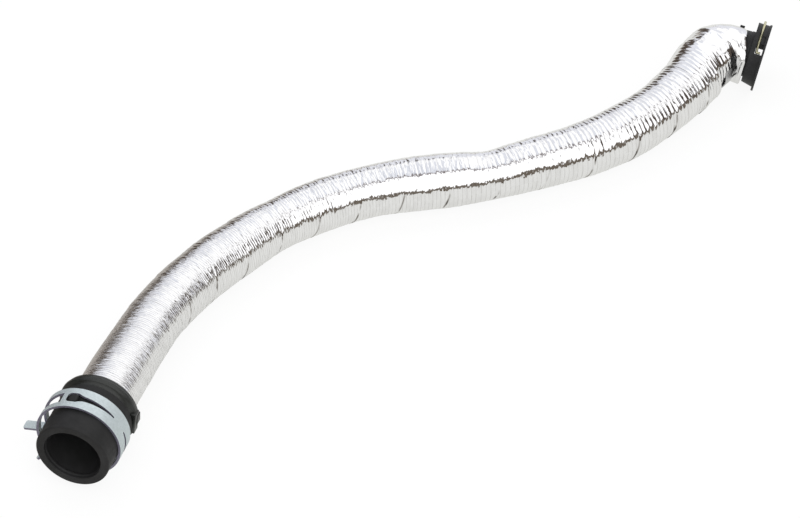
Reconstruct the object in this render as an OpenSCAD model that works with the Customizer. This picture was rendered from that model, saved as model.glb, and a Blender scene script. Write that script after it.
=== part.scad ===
// Air intake hose: a rubber hose in a corrugated foil sleeve, with a clamped cuff at one end
// and a quick connector on an elbow at the other. Millimetres. The origin is the centre of
// the cuff's mouth, +Y runs into the hose and +Z is up. The hose lies on the ground.

/* [Cuff] */
// Bore of the cuff, which pushes over a pipe
cuff_bore_d = 34; // [32:0.5:36]
// Wall of the cuff
cuff_wall = 5; // [4:0.25:6]
// Length of the cuff in front of the collar
cuff_l = 36.4; // [34:0.2:42]
// Depth of the bore up to its stop
cuff_bore_l = 27; // [24:1:29]
// Height of the bump that keeps the clamp in place
bump_h = 3.2; // [1:0.1:4]

/* [Collar] */
// Length of the collar along the hose
collar_l = 8.4; // [7:0.2:12]
// How far the collar's crest stands proud of the cuff
collar_rise = 1.7; // [1:0.1:3]
// Width of the lug on the collar's side
lug_w = 11; // [6:0.5:16]

/* [Clamp] */
// Width of the clamp's band
band_w = 15; // [13:0.5:16]
// Thickness of the clamp's band
band_t = 1.4; // [1:0.1:2]
// Distance from the cuff's mouth to the band
band_y = 14; // [10:0.5:18]
// How much larger the loose clamp is than the cuff, on the radius
band_slack = 2.2; // [1.5:0.1:3]
// Width of the tongue that passes through the fork
tongue_w = 6.4; // [5:0.2:7]
// Height of the two ears
ear_h = 11; // [7:0.5:13]

/* [Route] */
// Straight run behind the cuff
lead_l = 11.6; // [10:0.2:20]
// Radius of the slight dip that follows
dip_r = 320; // [250:10:400]
// Angle of the dip
dip_angle = 5; // [3:0.5:7]
// Straight run between the dip and the first bend
first_l = 28; // [20:1:45]
// Radius of the first bend, to the right
first_r = 210; // [180:5:260]
// Angle of the first bend
first_angle = 26; // [20:1:32]
// Straight run between the first and the second bend
second_l = 13; // [8:1:30]
// Radius of the second bend, to the right
second_r = 190; // [160:5:240]
// Angle of the second bend
second_angle = 37; // [30:1:42]
// Straight run between the second and the third bend
third_l = 30; // [20:1:45]
// Radius of the third bend, to the left
third_r = 85; // [75:5:120]
// Angle of the third bend
third_angle = 14; // [8:1:20]
// Straight run between the third and the fourth bend
fourth_l = 41; // [30:1:60]
// Radius of the fourth bend, to the left
fourth_r = 180; // [150:5:230]
// Angle of the fourth bend
fourth_angle = 27; // [20:1:34]
// Straight run from the last bend to the elbow's corner
tail_l = 64; // [60:1:80]

/* [Hose] */
// Outside diameter of the inner hose
hose_d = 27; // [26:0.25:28]
// Wall of the inner hose
hose_wall = 3; // [2.5:0.25:3.5]

/* [Sleeve] */
// Distance from one ridge of the sleeve to the next
ridge_pitch = 4; // [3.8:0.1:8]
// Height of the sleeve's ridges
ridge_h = 0.8; // [0.3:0.1:1]
// Thickness of the sleeve's wall under its ridges
sleeve_wall = 0.4; // [0.3:0.05:0.5]
// Thickness of the foil wrapped over the elbow
wrap_wall = 0.5; // [0.4:0.1:0.8]

/* [Elbow] */
// Angle of the elbow
elbow_angle = 66; // [60:1:70]
// Outside diameter of the elbow's neck
neck_d = 28.6; // [28:0.2:29]
// Distance from the elbow's corner to the middle of the socket
neck_l = 17; // [17:0.5:24]
// Bore that the mating pipe's tip goes into
spigot_d = 22.4; // [21:0.2:22.6]

/* [Socket] */
// Bore at the socket's mouth, which takes the mating pipe's bead
mouth_d = 26.8; // [26.4:0.1:27.2]
// Length of the socket's head
head_l = 8.8; // [8.6:0.1:12]
// Diameter of the thin flange at the mouth
flange_d = 43.4; // [42:0.2:48]
// Diameter over the clip housing
housing_d = 42; // [41:0.2:42]
// Width across the flat sides of the clip housing
housing_w = 33; // [32:0.5:34]

/* [Clip] */
// Diameter of the clip's wire
wire_d = 1.6; // [1.2:0.1:1.8]
// How far the clip reaches above the socket's axis
clip_top = 22.3; // [21.5:0.1:24]
// How far the clip lifts to let the mating pipe go
clip_lift = 5; // [3:0.5:6]

/* [Hidden] */

fit = 0.3;   // running space between pieces
tight = 0.1; // space between pieces that are pressed together
over = 1;    // how far a cut runs past what it cuts

cuff_bore_r = cuff_bore_d / 2;
cuff_r = cuff_bore_r + cuff_wall;
hose_r = hose_d / 2;
hose_bore_r = hose_r - hose_wall;
neck_r = neck_d / 2;
spigot_r = spigot_d / 2;
mouth_r = mouth_d / 2;
wire_r = wire_d / 2;

// The bends of the hose, one after the other: the straight before it, its radius, its angle,
// and the side that it turns to, where 0 is left, 90 is up, 180 is right and 270 is down
bends = [
    [cuff_l + lead_l, dip_r, dip_angle, 270],
    [first_l, first_r, first_angle, 170],
    [second_l, second_r, second_angle, 181],
    [third_l, third_r, third_angle, 0],
    [fourth_l, fourth_r, fourth_angle, 9]
];
elbow_side = 194;
socket_roll = -33;

// How loosely the sleeve lies on the hose: [distance from the cuff, space on the radius]
slack = [
    [8, 4.5], [39, 4.3], [69, 3.6], [154, 3.6], [179, 3], [202, 2], [226, 2.8], [264, 2.5],
    [294, 3.6], [316, 3.7], [338, 1.5], [362, 2.7], [385, 3.2], [408, 3.7], [432, 4.4],
    [458, 3.9], [484, 4.6], [509, 4.8]
];
function sleeve_r(s) = hose_r + lookup(s - cuff_l, slack);

sleeve_sides = 16;
function sleeve_bore_r(s) =
    (sleeve_r(s) - ridge_h - sleeve_wall) * cos(180 / sleeve_sides);

// A frame is [right, ahead, up, place]
start = [[1, 0, 0], [0, 1, 0], [0, 0, 1], [0, 0, 0]];

function turned(v, axis, a) =
    v * cos(a) + cross(axis, v) * sin(a) + axis * (axis * v) * (1 - cos(a));
function moved(f, l) = [f[0], f[1], f[2], f[3] + l * f[1]];
function bent(f, r, a, side) =
    let (
        inward = -cos(side) * f[0] + sin(side) * f[2],
        axis = cross(f[1], inward)
    )
    [
        turned(f[0], axis, a), turned(f[1], axis, a), turned(f[2], axis, a),
        f[3] + r * inward - turned(r * inward, axis, a)
    ];
function rolled(f, a) = [turned(f[0], f[1], a), f[1], turned(f[2], f[1], a), f[3]];

function arc_length(row) = row[1] * row[2] * PI / 180;
function route_length(i = 0) =
    i == len(bends) ? tail_l : bends[i][0] + arc_length(bends[i]) + route_length(i + 1);

// The hose's frame at a distance d from the mouth
function at(d, f = start, i = 0) =
    i == len(bends) ? moved(f, d) :
    let (
        row = bends[i],
        bend_start = moved(f, row[0]),
        past = d - row[0] - arc_length(row)
    )
    d <= row[0] ? moved(f, d) :
    past <= 0 ? bent(bend_start, row[1], (d - row[0]) / row[1] * 180 / PI, row[3]) :
    at(past, bent(bend_start, row[1], row[2], row[3]), i + 1);

corner_s = route_length();
corner = at(corner_s);
socket = moved(rolled(bent(corner, 0, elbow_angle, elbow_side), socket_roll), neck_l);

// Draws its children at a frame: their x goes left, their y up and their z ahead
module placed(f)
    multmatrix([for (k = [0:2]) [-f[0][k], f[2][k], f[1][k], f[3][k]]]) children();

function ring(f, r, n) =
    [for (k = [0:n - 1]) f[3] + r * (cos(360 * k / n) * f[0] + sin(360 * k / n) * f[2])];

// A hollow tube through two lists of rings of n points, one for its outside, one for its bore
module ring_tube(outside, bore, n) {
    no = len(outside);
    nb = len(bore);
    first_bore = no * n;
    function o(i, k) = i * n + k % n;
    function b(i, k) = first_bore + i * n + k % n;
    polyhedron(
        points = [
            for (r = outside) each r,
            for (r = bore) each r
        ],
        faces = [
            for (i = [0:no - 2], k = [0:n - 1]) each [
                [o(i, k), o(i, k + 1), o(i + 1, k + 1)],
                [o(i, k), o(i + 1, k + 1), o(i + 1, k)]
            ],
            for (i = [0:nb - 2], k = [0:n - 1]) each [
                [b(i, k), b(i + 1, k + 1), b(i, k + 1)],
                [b(i, k), b(i + 1, k), b(i + 1, k + 1)]
            ],
            for (k = [0:n - 1]) each [
                [o(0, k), b(0, k), b(0, k + 1)],
                [o(0, k), b(0, k + 1), o(0, k + 1)],
                [o(no - 1, k), b(nb - 1, k + 1), b(nb - 1, k)],
                [o(no - 1, k), o(no - 1, k + 1), b(nb - 1, k + 1)]
            ]
        ]
    );
}

// A ring with the section [[radius, z], ...] about z
module turned_ring(section) rotate_extrude($fn = 96) polygon(section);

// Cuff

neck_back = 13.6;              // the cuff's rear neck, under the sleeve
neck_outer_r = sleeve_bore_r(cuff_l + neck_back) - tight;
hose_s = cuff_l + 1.6;         // the hose starts here, against the cuff's shoulder
shoulder_l = 3;
bump_angle = 75;               // from the left, over the top
bump_l = 5.4;
bump_w = 5.8;
band_r = cuff_r + band_slack;
band_mid = band_y + band_w / 2;
// The loose clamp touches the cuff at this angle, and stands off across from it
touch_angle = 155;
band_shift = (band_slack - fit / 6) * [cos(touch_angle + 180), sin(touch_angle + 180)];

module end_cuff() color([0.17, 0.17, 0.17]) placed(start) {
    edge = 1;
    rear = cuff_l + neck_back;
    turned_ring([
        [cuff_bore_r, 0], [cuff_r - edge, 0], [cuff_r - edge * 0.3, edge * 0.3],
        [cuff_r, edge], [cuff_r, cuff_l - edge], [cuff_r - edge, cuff_l],
        [neck_outer_r, cuff_l], [neck_outer_r, rear], [hose_r + tight, rear],
        [hose_r + tight, hose_s], [hose_bore_r, hose_s], [hose_bore_r, hose_s - shoulder_l],
        [cuff_bore_r, cuff_bore_l]
    ]);
    // the bump stands in the clamp's key slot
    rotate([0, 0, bump_angle]) translate([cuff_r - cuff_wall / 2, 0, band_mid])
        rotate([0, 90, 0]) linear_extrude(cuff_wall / 2 + bump_h)
            rounded_plate(bump_w, bump_l, 2);
}

// A plate of w by l with rounded corners
module rounded_plate(w, l, r) {
    square([w - 2 * r, l], center = true);
    square([w, l - 2 * r], center = true);
    for (x = [-1, 1], y = [-1, 1])
        translate([x * (w / 2 - r), y * (l / 2 - r)]) circle(r, $fn = 32);
}

// Clamp: the angles run from the left, over the top, about the band's own axis

fork_from = -42;      // the fork's end, with the wide ear
fork_to = 64;
tongue_end = -10;     // the tongue's end, with the narrow ear
waist_from = 230;     // here the band starts to narrow to the tongue
waist_to = 285;
slot_gap = 0.5;       // space between tongue and fork
ear_inset = 0.05;     // the ears are this much narrower than the band, on each side
slot_tip = 141.5;     // pointed end of the key slot
slot_head = 70;       // its wide end
slot_neck = 90;
relief_tip = 163.5;   // the same slot on the other side, without a head
relief_end = 225;

// Cuts a slot through the band, from an outline of [angle, axial distance] points
module band_slot(from, to, outline) {
    middle = (from + to) / 2;
    reach = band_r + band_t / 2;
    rotate([0, 0, middle]) translate([band_r / 2, 0, 0]) rotate([90, 0, 90])
        linear_extrude(band_r) polygon([for (p = outline) [reach * sin(p[0] - middle), p[1]]]);
}

// The outline of a slot that is alike on both sides of the band's middle
function mirrored(half) = [
    each half,
    for (i = [len(half) - 1:-1:0]) [half[i][0], -half[i][1]]
];

// Cuts the band away between two angles and two axial distances
module band_cut(from, to, low, high)
    translate([0, 0, low]) linear_extrude(high - low) sector(from, to, band_r + 2 * band_t);

// An ear of width w that stands on the band at an angle, its corners rounded
module ear(angle, w) {
    corner_r = 1.2;
    root = band_r + band_t / 2;
    rotate([0, 0, angle]) translate([root, band_t / 2, 0]) rotate([90, 0, 0])
        linear_extrude(band_t) {
            translate([0, -w / 2]) square([ear_h - corner_r + band_t / 2, w]);
            translate([ear_h / 2 + band_t / 4, 0])
                rounded_plate(ear_h + band_t / 2, w, corner_r);
        }
}

module spring_clamp() color([0.78, 0.82, 0.83]) placed(start)
    translate([band_shift[0], band_shift[1], band_mid]) difference() {
        window = tongue_w + 2 * slot_gap;
        union() {
            difference() {
                turned_ring([
                    [band_r, -band_w / 2], [band_r + band_t, -band_w / 2],
                    [band_r + band_t, band_w / 2], [band_r, band_w / 2]
                ]);
                // the fork's window, and the two gaps beside the tongue
                band_cut(tongue_end, fork_to, -window / 2, window / 2);
                for (side = [0, 1]) mirror([0, 0, side]) {
                    band_cut(fork_from, tongue_end, tongue_w / 2, window / 2);
                    band_cut(waist_to - 360, fork_from, tongue_w / 2, band_w);
                    band_slot(waist_from, waist_to, [
                        [waist_from, band_w / 2], [waist_to + 1, tongue_w / 2],
                        [waist_to + 1, band_w], [waist_from, band_w]
                    ]);
                }
                band_slot(slot_head, slot_tip, mirrored([
                    [slot_head, 1.8], [slot_head + 2, 3], [slot_head + 5, 3.5],
                    [slot_neck - 5, 3.5], [slot_neck - 1, 2.6], [slot_neck + 4, 1.9],
                    [slot_tip - 1, 0.5], [slot_tip, 0.1]
                ]));
                band_slot(relief_tip, relief_end, mirrored([
                    [relief_tip, 0.1], [relief_tip + 1, 0.5], [relief_end - 18, 1.7],
                    [relief_end - 2, 2.2], [relief_end, 1.2]
                ]));
            }
            ear(tongue_end, tongue_w - 2 * ear_inset);
            difference() {
                ear(fork_from, band_w - 2 * ear_inset);
                rotate([0, 0, fork_from])
                    translate([0, -2 * band_t, -window / 2 - ear_inset])
                    cube([band_r + 3 * band_t, 4 * band_t, window + 2 * ear_inset]);
            }
        }
        // the dimple in the narrow ear
        rotate([0, 0, tongue_end]) translate([band_r + ear_h / 2, -band_t * 0.2, 0])
            rotate([90, 0, 0]) cylinder(d = 1, h = band_t, $fn = 24);
    }

// A slice of a disc between two angles
module sector(from, to, r) polygon([
    [0, 0],
    for (a = [from:(to - from) / 8:to + 0.1]) 1.1 * r * [cos(a), sin(a)]
]);

// Collar

collar_r = cuff_r + collar_rise;
collar_s = cuff_l + fit;
collar_web = 2.6; // how deep the collar's front wall is before the sleeve starts
collar_seat_r = sleeve_r(collar_s) + tight;
lug_angle = 168;

module sleeve_collar() color([0.13, 0.13, 0.13]) placed(moved(start, collar_s)) {
    difference() {
        union() {
            turned_ring([
                [neck_outer_r + tight, 0], [cuff_r - 1.2, 0], [cuff_r - 0.6, 1.2],
                [collar_r - 0.8, 2], [collar_r, 2.8], [collar_r, 4.6], [collar_r - 0.7, 5.4],
                [collar_r - 0.9, collar_l - 1.4], [collar_r - 2.2, collar_l],
                [collar_seat_r, collar_l], [collar_seat_r, collar_web],
                [neck_outer_r + tight, collar_web]
            ]);
            // the lug on the right side, with a step
            rotate([0, 0, lug_angle]) translate([cuff_r - 1, -lug_w / 2, 0.6])
                cube([collar_rise + 2.6, lug_w, collar_l - 2.4]);
        }
        rotate([0, 0, lug_angle]) translate([cuff_r + 0.6, -lug_w / 2 - over, -over])
            cube([collar_rise + 3, lug_w / 2 + over, 3.6 + over]);
    }
}

// Hose

barb_back = 11;                   // the hose's end stops this far in front of the corner
barb_l = 22;
hose_end_s = corner_s - barb_back;
barb_s = hose_end_s - barb_l;
barb_stretch = 1.2;               // how much the barb widens the hose, on the radius
hose_sides = 12;

module inner_hose() color([0.12, 0.12, 0.13]) {
    step = 13;
    steps = ceil((barb_s - hose_s) / step);
    run = [for (i = [0:steps]) hose_s + (barb_s - 4 - hose_s) * i / steps];
    wide = [barb_s, hose_end_s];
    ring_tube(
        [
            for (s = run) ring(at(s), hose_r, hose_sides),
            for (s = wide) ring(at(s), hose_r + barb_stretch, hose_sides)
        ],
        [
            for (s = run) ring(at(s), hose_bore_r, hose_sides),
            for (s = wide) ring(at(s), hose_bore_r + barb_stretch, hose_sides)
        ],
        hose_sides
    );
}

// Sleeve

sleeve_from = collar_s + collar_web + fit;
sleeve_back = 33;                 // the sleeve ends this far in front of the corner
sleeve_to = corner_s - sleeve_back;

module foil_sleeve() color([0.88, 0.89, 0.92]) {
    ridges = round((sleeve_to - sleeve_from) / ridge_pitch);
    step = (sleeve_to - sleeve_from) / ridges / 2;
    lining = 9; // distance between the rings of the smooth inside
    linings = round((sleeve_to - sleeve_from) / lining);
    ring_tube(
        [
            for (i = [0:2 * ridges]) let (s = sleeve_from + i * step)
                ring(at(s), sleeve_r(s) - (i % 2 == 0 ? ridge_h : 0), sleeve_sides)
        ],
        [
            for (i = [0:linings])
                let (s = sleeve_from + (sleeve_to - sleeve_from) * i / linings)
                ring(at(s), sleeve_r(s) - ridge_h - sleeve_wall, sleeve_sides)
        ],
        sleeve_sides
    );
}

// Foil wrap over the elbow, whose open end leans towards the socket

wrap_back = 52;          // the wrap starts this far in front of the corner
wrap_bend_back = 12.8;   // and starts to lean here
wrap_s = corner_s - wrap_back;
wrap_bend_s = corner_s - wrap_bend_back;
wrap_bend_r = 20;
wrap_lean = 40;
wrap_r = max(sleeve_r(wrap_s), sleeve_r(sleeve_to)) + tight + wrap_wall;

module foil_end_wrap() color([0.93, 0.93, 0.95]) {
    sides = 24;
    steps = 6;
    // how much the wrap swells over the elbow and draws in at its mouth
    swell = [[0, 0], [0.2, 0.15], [0.6, 0.1], [0.8, -0.2], [0.9, -0.8], [1, -2.4]];
    frames = [
        for (i = [0:steps]) at(wrap_s + (wrap_bend_s - wrap_s) * i / steps),
        for (i = [1:steps]) bent(at(wrap_bend_s), wrap_bend_r, wrap_lean * i / steps, elbow_side)
    ];
    last = len(frames) - 1;
    ring_tube(
        [for (i = [0:last]) ring(frames[i], wrap_r + lookup(i / last, swell), sides)],
        [for (i = [0:last]) ring(frames[i], wrap_r - wrap_wall + lookup(i / last, swell), sides)],
        sides
    );
}

// Clamp on the barb, under the foil

barb_clamp_w = 7;
barb_clamp_t = 0.6;

module barb_clamp() color([0.75, 0.76, 0.78])
    placed(at(barb_s + (barb_l - barb_clamp_w) / 2)) {
        r = hose_r + barb_stretch + tight;
        ear_w = 6;
        difference() {
            cylinder(r = r + barb_clamp_t, h = barb_clamp_w, $fn = 64);
            translate([0, 0, -over]) cylinder(r = r, h = barb_clamp_w + 2 * over, $fn = 64);
        }
        // the pinched ear
        translate([-ear_w / 2, r + barb_clamp_t / 2, 0]) difference() {
            cube([ear_w, 1.4, barb_clamp_w]);
            translate([barb_clamp_t, -over, -over])
                cube([ear_w - 2 * barb_clamp_t, 1.8, barb_clamp_w + 2 * over]);
        }
    }

// Elbow connector

flow_r = 9.4;
elbow_r = 16;         // radius of the elbow's bend, on its axis
elbow_reach = elbow_r * tan(elbow_angle / 2);
stub_l = barb_back + barb_l + 1.5;
joint = 0.2;          // how far the elbow's straight parts run into its bend
barb_r = (hose_bore_r + barb_stretch) * cos(180 / hose_sides) - tight;
seal_bore_r = mouth_r - 0.4;
seal_from = -7.6;    // depths in the socket, from the middle of its head
seal_to = -2.6;
spigot_to = -12.5;
clip_z = -0.6;
leg_x = mouth_r;     // the legs of the clip stand at the edge of the mouth's bore
leg_bottom = 2.3;
bridge_y = clip_top - leg_x;
groove = 0.2;        // space round the clip's wire
hook_l = 3.4;

module elbow_connector() color([0.19, 0.19, 0.2]) {
    difference() {
        union() {
            placed(moved(corner, -stub_l))
                cylinder(r = barb_r - 0.4, h = stub_l - elbow_reach + joint, $fn = 96);
            for (i = [0:2]) placed(moved(corner, -(barb_back + barb_l - 2 - 5 * i)))
                cylinder(r1 = barb_r - 0.5, r2 = barb_r, h = 3, $fn = 96);
            placed(moved(corner, fit - barb_back))
                cylinder(r = neck_r - 0.4, h = barb_back - fit - elbow_reach + joint, $fn = 96);
            elbow_bend(neck_r + 0.1);
            placed(moved(socket, elbow_reach - neck_l - joint))
                cylinder(r = neck_r, h = neck_l - elbow_reach + joint, $fn = 96);
            placed(socket) socket_head();
        }
        placed(moved(corner, -stub_l - over))
            cylinder(r = flow_r, h = stub_l + over - elbow_reach + joint, $fn = 96);
        elbow_bend(flow_r + 0.1);
        placed(moved(socket, elbow_reach - neck_l - joint))
            cylinder(r = flow_r, h = neck_l - elbow_reach + joint, $fn = 96);
        placed(socket) socket_cuts();
    }
}

// The bent part of the elbow, as a round bar of radius r
module elbow_bend(r)
    placed(moved(corner, -elbow_reach)) rotate([0, 0, elbow_side]) translate([elbow_r, 0, 0])
        rotate([90, 0, 180]) rotate_extrude(angle = elbow_angle, $fn = 96)
            translate([elbow_r, 0]) circle(r, $fn = 96);

module socket_head() {
    back = -head_l / 2;
    cone_back_r = flange_d / 2 - 3.9;
    cone_front_r = flange_d / 2 - 2.3;
    flange_t = 1.4;
    step_l = 1.9;
    // the plain cone and the flange
    turned_ring([
        [0, back], [cone_back_r, back], [cone_front_r, -back - flange_t],
        [flange_d / 2, -back - flange_t], [flange_d / 2, -back], [0, -back]
    ]);
    // the collar step on the neck
    translate([0, 0, back - step_l]) cylinder(r = neck_r + 0.4, h = step_l + over, $fn = 96);
    // the housing of the clip
    intersection() {
        translate([0, 0, back]) cylinder(d = housing_d, h = head_l - flange_t + over / 2, $fn = 96);
        translate([-housing_w / 2, -1, back - over])
            cube([housing_w, housing_d, head_l + 2 * over]);
    }
    // the nub on the neck
    nub_z = -13.7;
    nub_d = 3;
    translate([0, 0, nub_z]) rotate([-90, 0, 0]) cylinder(d = nub_d, h = neck_r + 2, $fn = 32);
}

module socket_cuts() {
    mouth = head_l / 2;
    chamfer = 0.8;
    lip = mouth_r + chamfer;
    translate([0, 0, seal_to]) cylinder(r = mouth_r, h = mouth - seal_to + over, $fn = 96);
    translate([0, 0, mouth - chamfer])
        cylinder(r1 = mouth_r, r2 = lip + chamfer, h = 2 * chamfer, $fn = 96);
    translate([0, 0, seal_from]) cylinder(r = seal_bore_r, h = -seal_from, $fn = 96);
    translate([0, 0, spigot_to]) cylinder(r = spigot_r, h = -spigot_to, $fn = 96);
    // the groove for the clip, open to the outside and to the top
    slot_w = wire_d + 2 * groove;
    inner = leg_x - wire_r - groove;
    low = leg_bottom - wire_r - groove;
    translate([0, 0, clip_z - slot_w / 2]) linear_extrude(slot_w) difference() {
        translate([-housing_d, low]) square([2 * housing_d, housing_d]);
        translate([-inner, 0]) square([2 * inner, bridge_y]);
        translate([0, bridge_y]) circle(inner, $fn = 96);
    }
    // the recess in which the hooked ends move
    recess_h = clip_lift + slot_w;
    // above it a shallow panel, and a short notch at the panel's top
    panel = [1, 4, 3];
    panel_y = 10.6;
    notch = [3, 1.2, 2.9];
    notch_y = 13;
    for (side = [-1, 1]) {
        translate([side * (inner + housing_d / 2), low + recess_h / 2, clip_z + (hook_l + fit) / 2])
            cube([housing_d, recess_h, hook_l + fit], center = true);
        translate([side * housing_w / 2, panel_y, clip_z + hook_l / 2]) cube(panel, center = true);
        translate([side * housing_w / 2, notch_y, 1.2]) cube(notch, center = true);
    }
}

// Seal and clip of the socket

retainer_l = 1.9;
snug = 0.02; // space round the ring and its retainer

module seal_ring() color([0.1, 0.25, 0.2]) placed(socket) {
    section_r = (seal_bore_r - spigot_r - snug) / 2;
    translate([0, 0, seal_to - retainer_l - section_r - snug])
        rotate_extrude($fn = 64)
            translate([spigot_r + section_r, 0]) circle(section_r, $fn = 32);
}

module seal_retainer() color([0.2, 0.2, 0.22]) placed(socket) turned_ring([
    [spigot_r, seal_to - retainer_l], [seal_bore_r - snug, seal_to - retainer_l],
    [seal_bore_r - snug, seal_to - 0.2], [spigot_r + 0.6, seal_to - 0.2],
    [spigot_r, seal_to - 0.8]
]);

module retaining_clip() color([0.82, 0.8, 0.62]) placed(socket) translate([0, 0, clip_z]) {
    translate([0, bridge_y, 0]) rotate_extrude(angle = 180, $fn = 96)
        translate([leg_x, 0]) circle(wire_r, $fn = 24);
    for (side = [-1, 1]) translate([side * leg_x, leg_bottom, 0]) {
        rotate([-90, 0, 0]) cylinder(r = wire_r, h = bridge_y - leg_bottom, $fn = 24);
        sphere(wire_r, $fn = 24);
        cylinder(r = wire_r, h = hook_l - wire_r, $fn = 24);
    }
}

end_cuff();
spring_clamp();
sleeve_collar();
inner_hose();
foil_sleeve();
foil_end_wrap();
barb_clamp();
elbow_connector();
seal_ring();
seal_retainer();
retaining_clip();
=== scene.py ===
"""Looks for the air intake hose: foil sleeve, crumpled foil end, cuff, collar, clamp and connector."""

import math

import bmesh
import bpy
import numpy as np
from mathutils import Matrix, Vector


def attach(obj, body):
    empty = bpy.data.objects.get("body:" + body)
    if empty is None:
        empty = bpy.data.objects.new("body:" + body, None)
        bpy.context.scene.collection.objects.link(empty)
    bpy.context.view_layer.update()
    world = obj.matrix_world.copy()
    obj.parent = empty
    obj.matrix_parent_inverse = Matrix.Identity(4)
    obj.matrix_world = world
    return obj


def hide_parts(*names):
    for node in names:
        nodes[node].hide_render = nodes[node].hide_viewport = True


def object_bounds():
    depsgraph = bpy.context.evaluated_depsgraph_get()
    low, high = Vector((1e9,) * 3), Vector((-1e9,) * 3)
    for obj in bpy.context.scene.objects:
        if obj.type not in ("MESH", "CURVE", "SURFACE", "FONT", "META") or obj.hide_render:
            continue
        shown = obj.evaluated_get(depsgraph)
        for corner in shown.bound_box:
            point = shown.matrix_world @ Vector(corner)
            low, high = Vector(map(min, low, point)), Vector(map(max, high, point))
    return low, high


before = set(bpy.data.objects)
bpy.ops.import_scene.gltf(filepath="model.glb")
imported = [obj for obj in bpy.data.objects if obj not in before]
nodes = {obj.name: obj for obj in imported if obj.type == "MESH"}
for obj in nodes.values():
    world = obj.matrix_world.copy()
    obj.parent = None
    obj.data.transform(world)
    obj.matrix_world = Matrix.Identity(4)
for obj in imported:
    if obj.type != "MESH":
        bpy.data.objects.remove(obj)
cad_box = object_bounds()
MM = 0.001
rng = np.random.default_rng(7)


# The photograph's camera

IMAGE = (800, 518)
FOCAL_PX = 3570.0
SENSOR = 36
DISTANCE = 2.0
AZIMUTH, ELEVATION = math.radians(18.5), math.radians(42)
MOUTH_PX = (71.9, 456.2)  # the centre of the cuff's mouth in the photograph


def make_camera():
    a, e = AZIMUTH, ELEVATION
    ahead = Vector((-math.sin(a) * math.cos(e), math.cos(a) * math.cos(e), -math.sin(e)))
    right = Vector((math.cos(a), math.sin(a), 0))
    up = right.cross(ahead)
    u = (MOUTH_PX[0] - IMAGE[0] / 2) / FOCAL_PX
    v = (IMAGE[1] / 2 - MOUTH_PX[1]) / FOCAL_PX
    data = bpy.data.cameras.new("photo_camera")
    data.sensor_fit = "HORIZONTAL"
    data.sensor_width = SENSOR
    data.lens = FOCAL_PX / IMAGE[0] * SENSOR
    data.clip_start, data.clip_end = 0.1, 50
    camera = bpy.data.objects.new("photo_camera", data)
    turn = Matrix((right, up, -ahead)).transposed().to_4x4()
    camera.matrix_world = Matrix.Translation(-DISTANCE * (ahead + u * right + v * up)) @ turn
    bpy.context.scene.collection.objects.link(camera)
    bpy.context.scene.camera = camera


# The hose's route in mm, the same as in the part's source

# each row is a straight length, then a bend's radius, its angle and the side it turns to
BENDS = [
    (48, 320, 5, 270),
    (28, 210, 26, 170),
    (13, 190, 37, 181),
    (30, 85, 14, 0),
    (41, 180, 27, 9),
]
TAIL = 64
ELBOW_SIDE, ELBOW_ANGLE, ELBOW_R = 194, 66, 16
START = (np.array([1.0, 0, 0]), np.array([0, 1.0, 0]), np.array([0, 0, 1.0]), np.zeros(3))


def turned(v, axis, degrees):
    """A vector turned about an axis of length 1."""
    a = math.radians(degrees)
    return v * math.cos(a) + np.cross(axis, v) * math.sin(a) + axis * (axis @ v) * (1 - math.cos(a))


def moved(f, length):
    """A frame (right, ahead, up, place) moved straight ahead."""
    return (f[0], f[1], f[2], f[3] + length * f[1])


def inward(f, side):
    """The direction from a frame's place to the centre of a bend on the given side."""
    s = math.radians(side)
    return -math.cos(s) * f[0] + math.sin(s) * f[2]


def bent(f, radius, degrees, side):
    """A frame moved round a bend."""
    centre = radius * inward(f, side)
    axis = np.cross(f[1], inward(f, side))
    turn = [turned(v, axis, degrees) for v in f[:3]]
    return (*turn, f[3] + centre - turned(centre, axis, degrees))


def arc_length(radius, degrees):
    return radius * math.radians(degrees)


def at(d):
    """The hose's frame at distance d from the cuff's mouth."""
    f = START
    for straight, radius, degrees, side in BENDS:
        if d <= straight:
            return moved(f, d)
        f = moved(f, straight)
        past = d - straight - arc_length(radius, degrees)
        if past <= 0:
            return bent(f, radius, math.degrees((d - straight) / radius), side)
        f = bent(f, radius, degrees, side)
        d = past
    return moved(f, d)


CORNER_S = sum(row[0] + arc_length(row[1], row[2]) for row in BENDS) + TAIL
HOSE_R = 13.5
CUFF_L, COLLAR_S = 36.4, 36.6

# how far the foil stands off the inner hose, at distances from the cuff's end
SLACK_S = [8, 39, 69, 154, 179, 202, 226, 264, 294, 316, 338, 362, 385, 408, 432, 458, 484, 509]
SLACK_R = [4.5, 4.3, 3.6, 3.6, 3, 2, 2.8, 2.5, 3.6, 3.7, 1.5, 2.7, 3.2, 3.7, 4.4, 3.9, 4.6, 4.8]
SMOOTHED_OVER = np.linspace(-9, 9, 7)


def sleeve_r(s):
    """The sleeve's outside radius, smoothed between the points where it is known."""
    slack = [np.interp(s + reach - CUFF_L, SLACK_S, SLACK_R) for reach in SMOOTHED_OVER]
    return HOSE_R + np.mean(slack, axis=0)


# Meshes


def link_object(name, mesh, material):
    piece = bpy.data.objects.new(name, mesh)
    bpy.context.scene.collection.objects.link(piece)
    mesh.materials.append(material)
    return piece


def mesh_object(name, points, faces, material):
    mesh = bpy.data.meshes.new(name)
    mesh.from_pydata([tuple(p) for p in points], [], faces)
    mesh.validate()
    mesh.update()
    mesh.shade_smooth()
    return link_object(name, mesh, material)


def angles(around):
    return 2 * np.pi * np.arange(around) / around


def tube_faces(rings, around):
    i = np.arange(rings - 1)[:, None]
    k = np.arange(around)[None, :]
    n = (k + 1) % around
    a, b, c, d = i * around + k, i * around + n, (i + 1) * around + n, (i + 1) * around + k
    return np.stack([a, b, c, d], axis=-1).reshape(-1, 4).tolist()


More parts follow.
